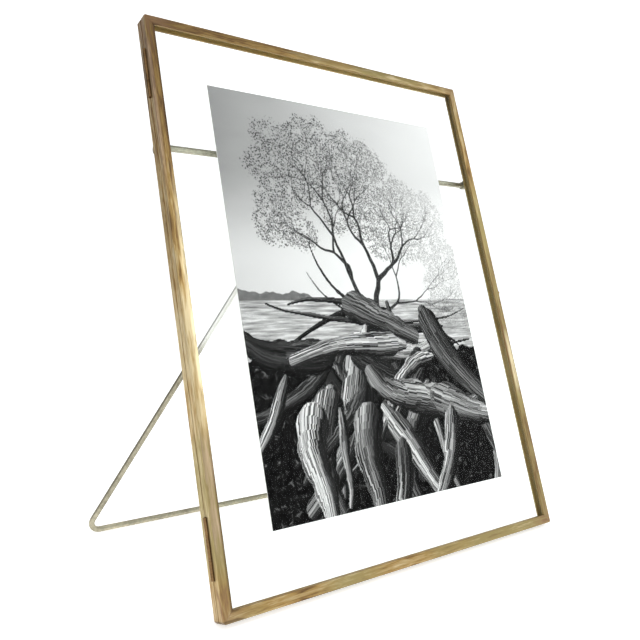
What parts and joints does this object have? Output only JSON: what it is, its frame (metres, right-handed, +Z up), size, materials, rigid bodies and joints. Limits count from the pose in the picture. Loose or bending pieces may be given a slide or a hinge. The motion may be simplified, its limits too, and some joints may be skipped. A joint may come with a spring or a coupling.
{
  "type": "floating picture frame",
  "caption": "Hinged brass float frame that holds a print between clear panes and leans back on a folding wire easel.",
  "frame": {"origin": "on the surface it stands on, at the middle of the footprint of frame and open easel", "axes": "+Z up, +X to the viewer's right, +Y from the front to the easel behind"},
  "size_m": [0.1836, 0.1226, 0.2214],
  "materials": {
    "frame_brass": "aged, lengthwise brushed brass",
    "hinge_brass": "dark aged brass",
    "wire_brass": "pale aged brass wire",
    "clasp_brass": "aged brass",
    "solder": "copper-pink solder",
    "glass": "clear polished glass",
    "print_paper": "satin black and white photo print"
  },
  "bodies": {
    "back_leaf": {"back_top_rail": "frame_brass", "back_bottom_rail": "frame_brass", "back_left_stile": "frame_brass", "back_right_stile": "frame_brass", "back_corner_solder": "solder", "back_glass": "glass", "photo_print": "print_paper", "left_eyelet": "wire_brass", "right_eyelet": "wire_brass", "upper_hinge_back": "hinge_brass", "lower_hinge_back": "hinge_brass", "upper_hinge_pin": "hinge_brass", "lower_hinge_pin": "hinge_brass", "clasp_rivet": "clasp_brass"},
    "front_leaf": {"front_top_rail": "frame_brass", "front_bottom_rail": "frame_brass", "front_left_stile": "frame_brass", "front_right_stile": "frame_brass", "front_corner_solder": "solder", "front_glass": "glass", "upper_hinge_front": "hinge_brass", "lower_hinge_front": "hinge_brass", "catch_stud": "clasp_brass"},
    "easel": {"crossbar": "wire_brass", "easel_wire": "wire_brass", "braze_beads": "solder"},
    "clasp": {"clasp_hook": "clasp_brass"}
  },
  "joints": [
    {"name": "leaf_hinge", "type": "hinge", "parent": "back_leaf", "child": "front_leaf", "pos_m": [-0.0889, -0.0268, 0.11076], "axis": [0, -0.2756, -0.9613], "range_deg": [0, 165]},
    {"name": "easel_hinge", "type": "hinge", "parent": "back_leaf", "child": "easel", "pos_m": [0, -0.00482, 0.16729], "axis": [-1, 0, 0], "range_deg": [0, 37]},
    {"name": "clasp_pivot", "type": "hinge", "parent": "back_leaf", "child": "clasp", "pos_m": [0.08935, -0.02492, 0.11022], "axis": [1, 0, 0], "range_deg": [0, 254]}
  ]
}
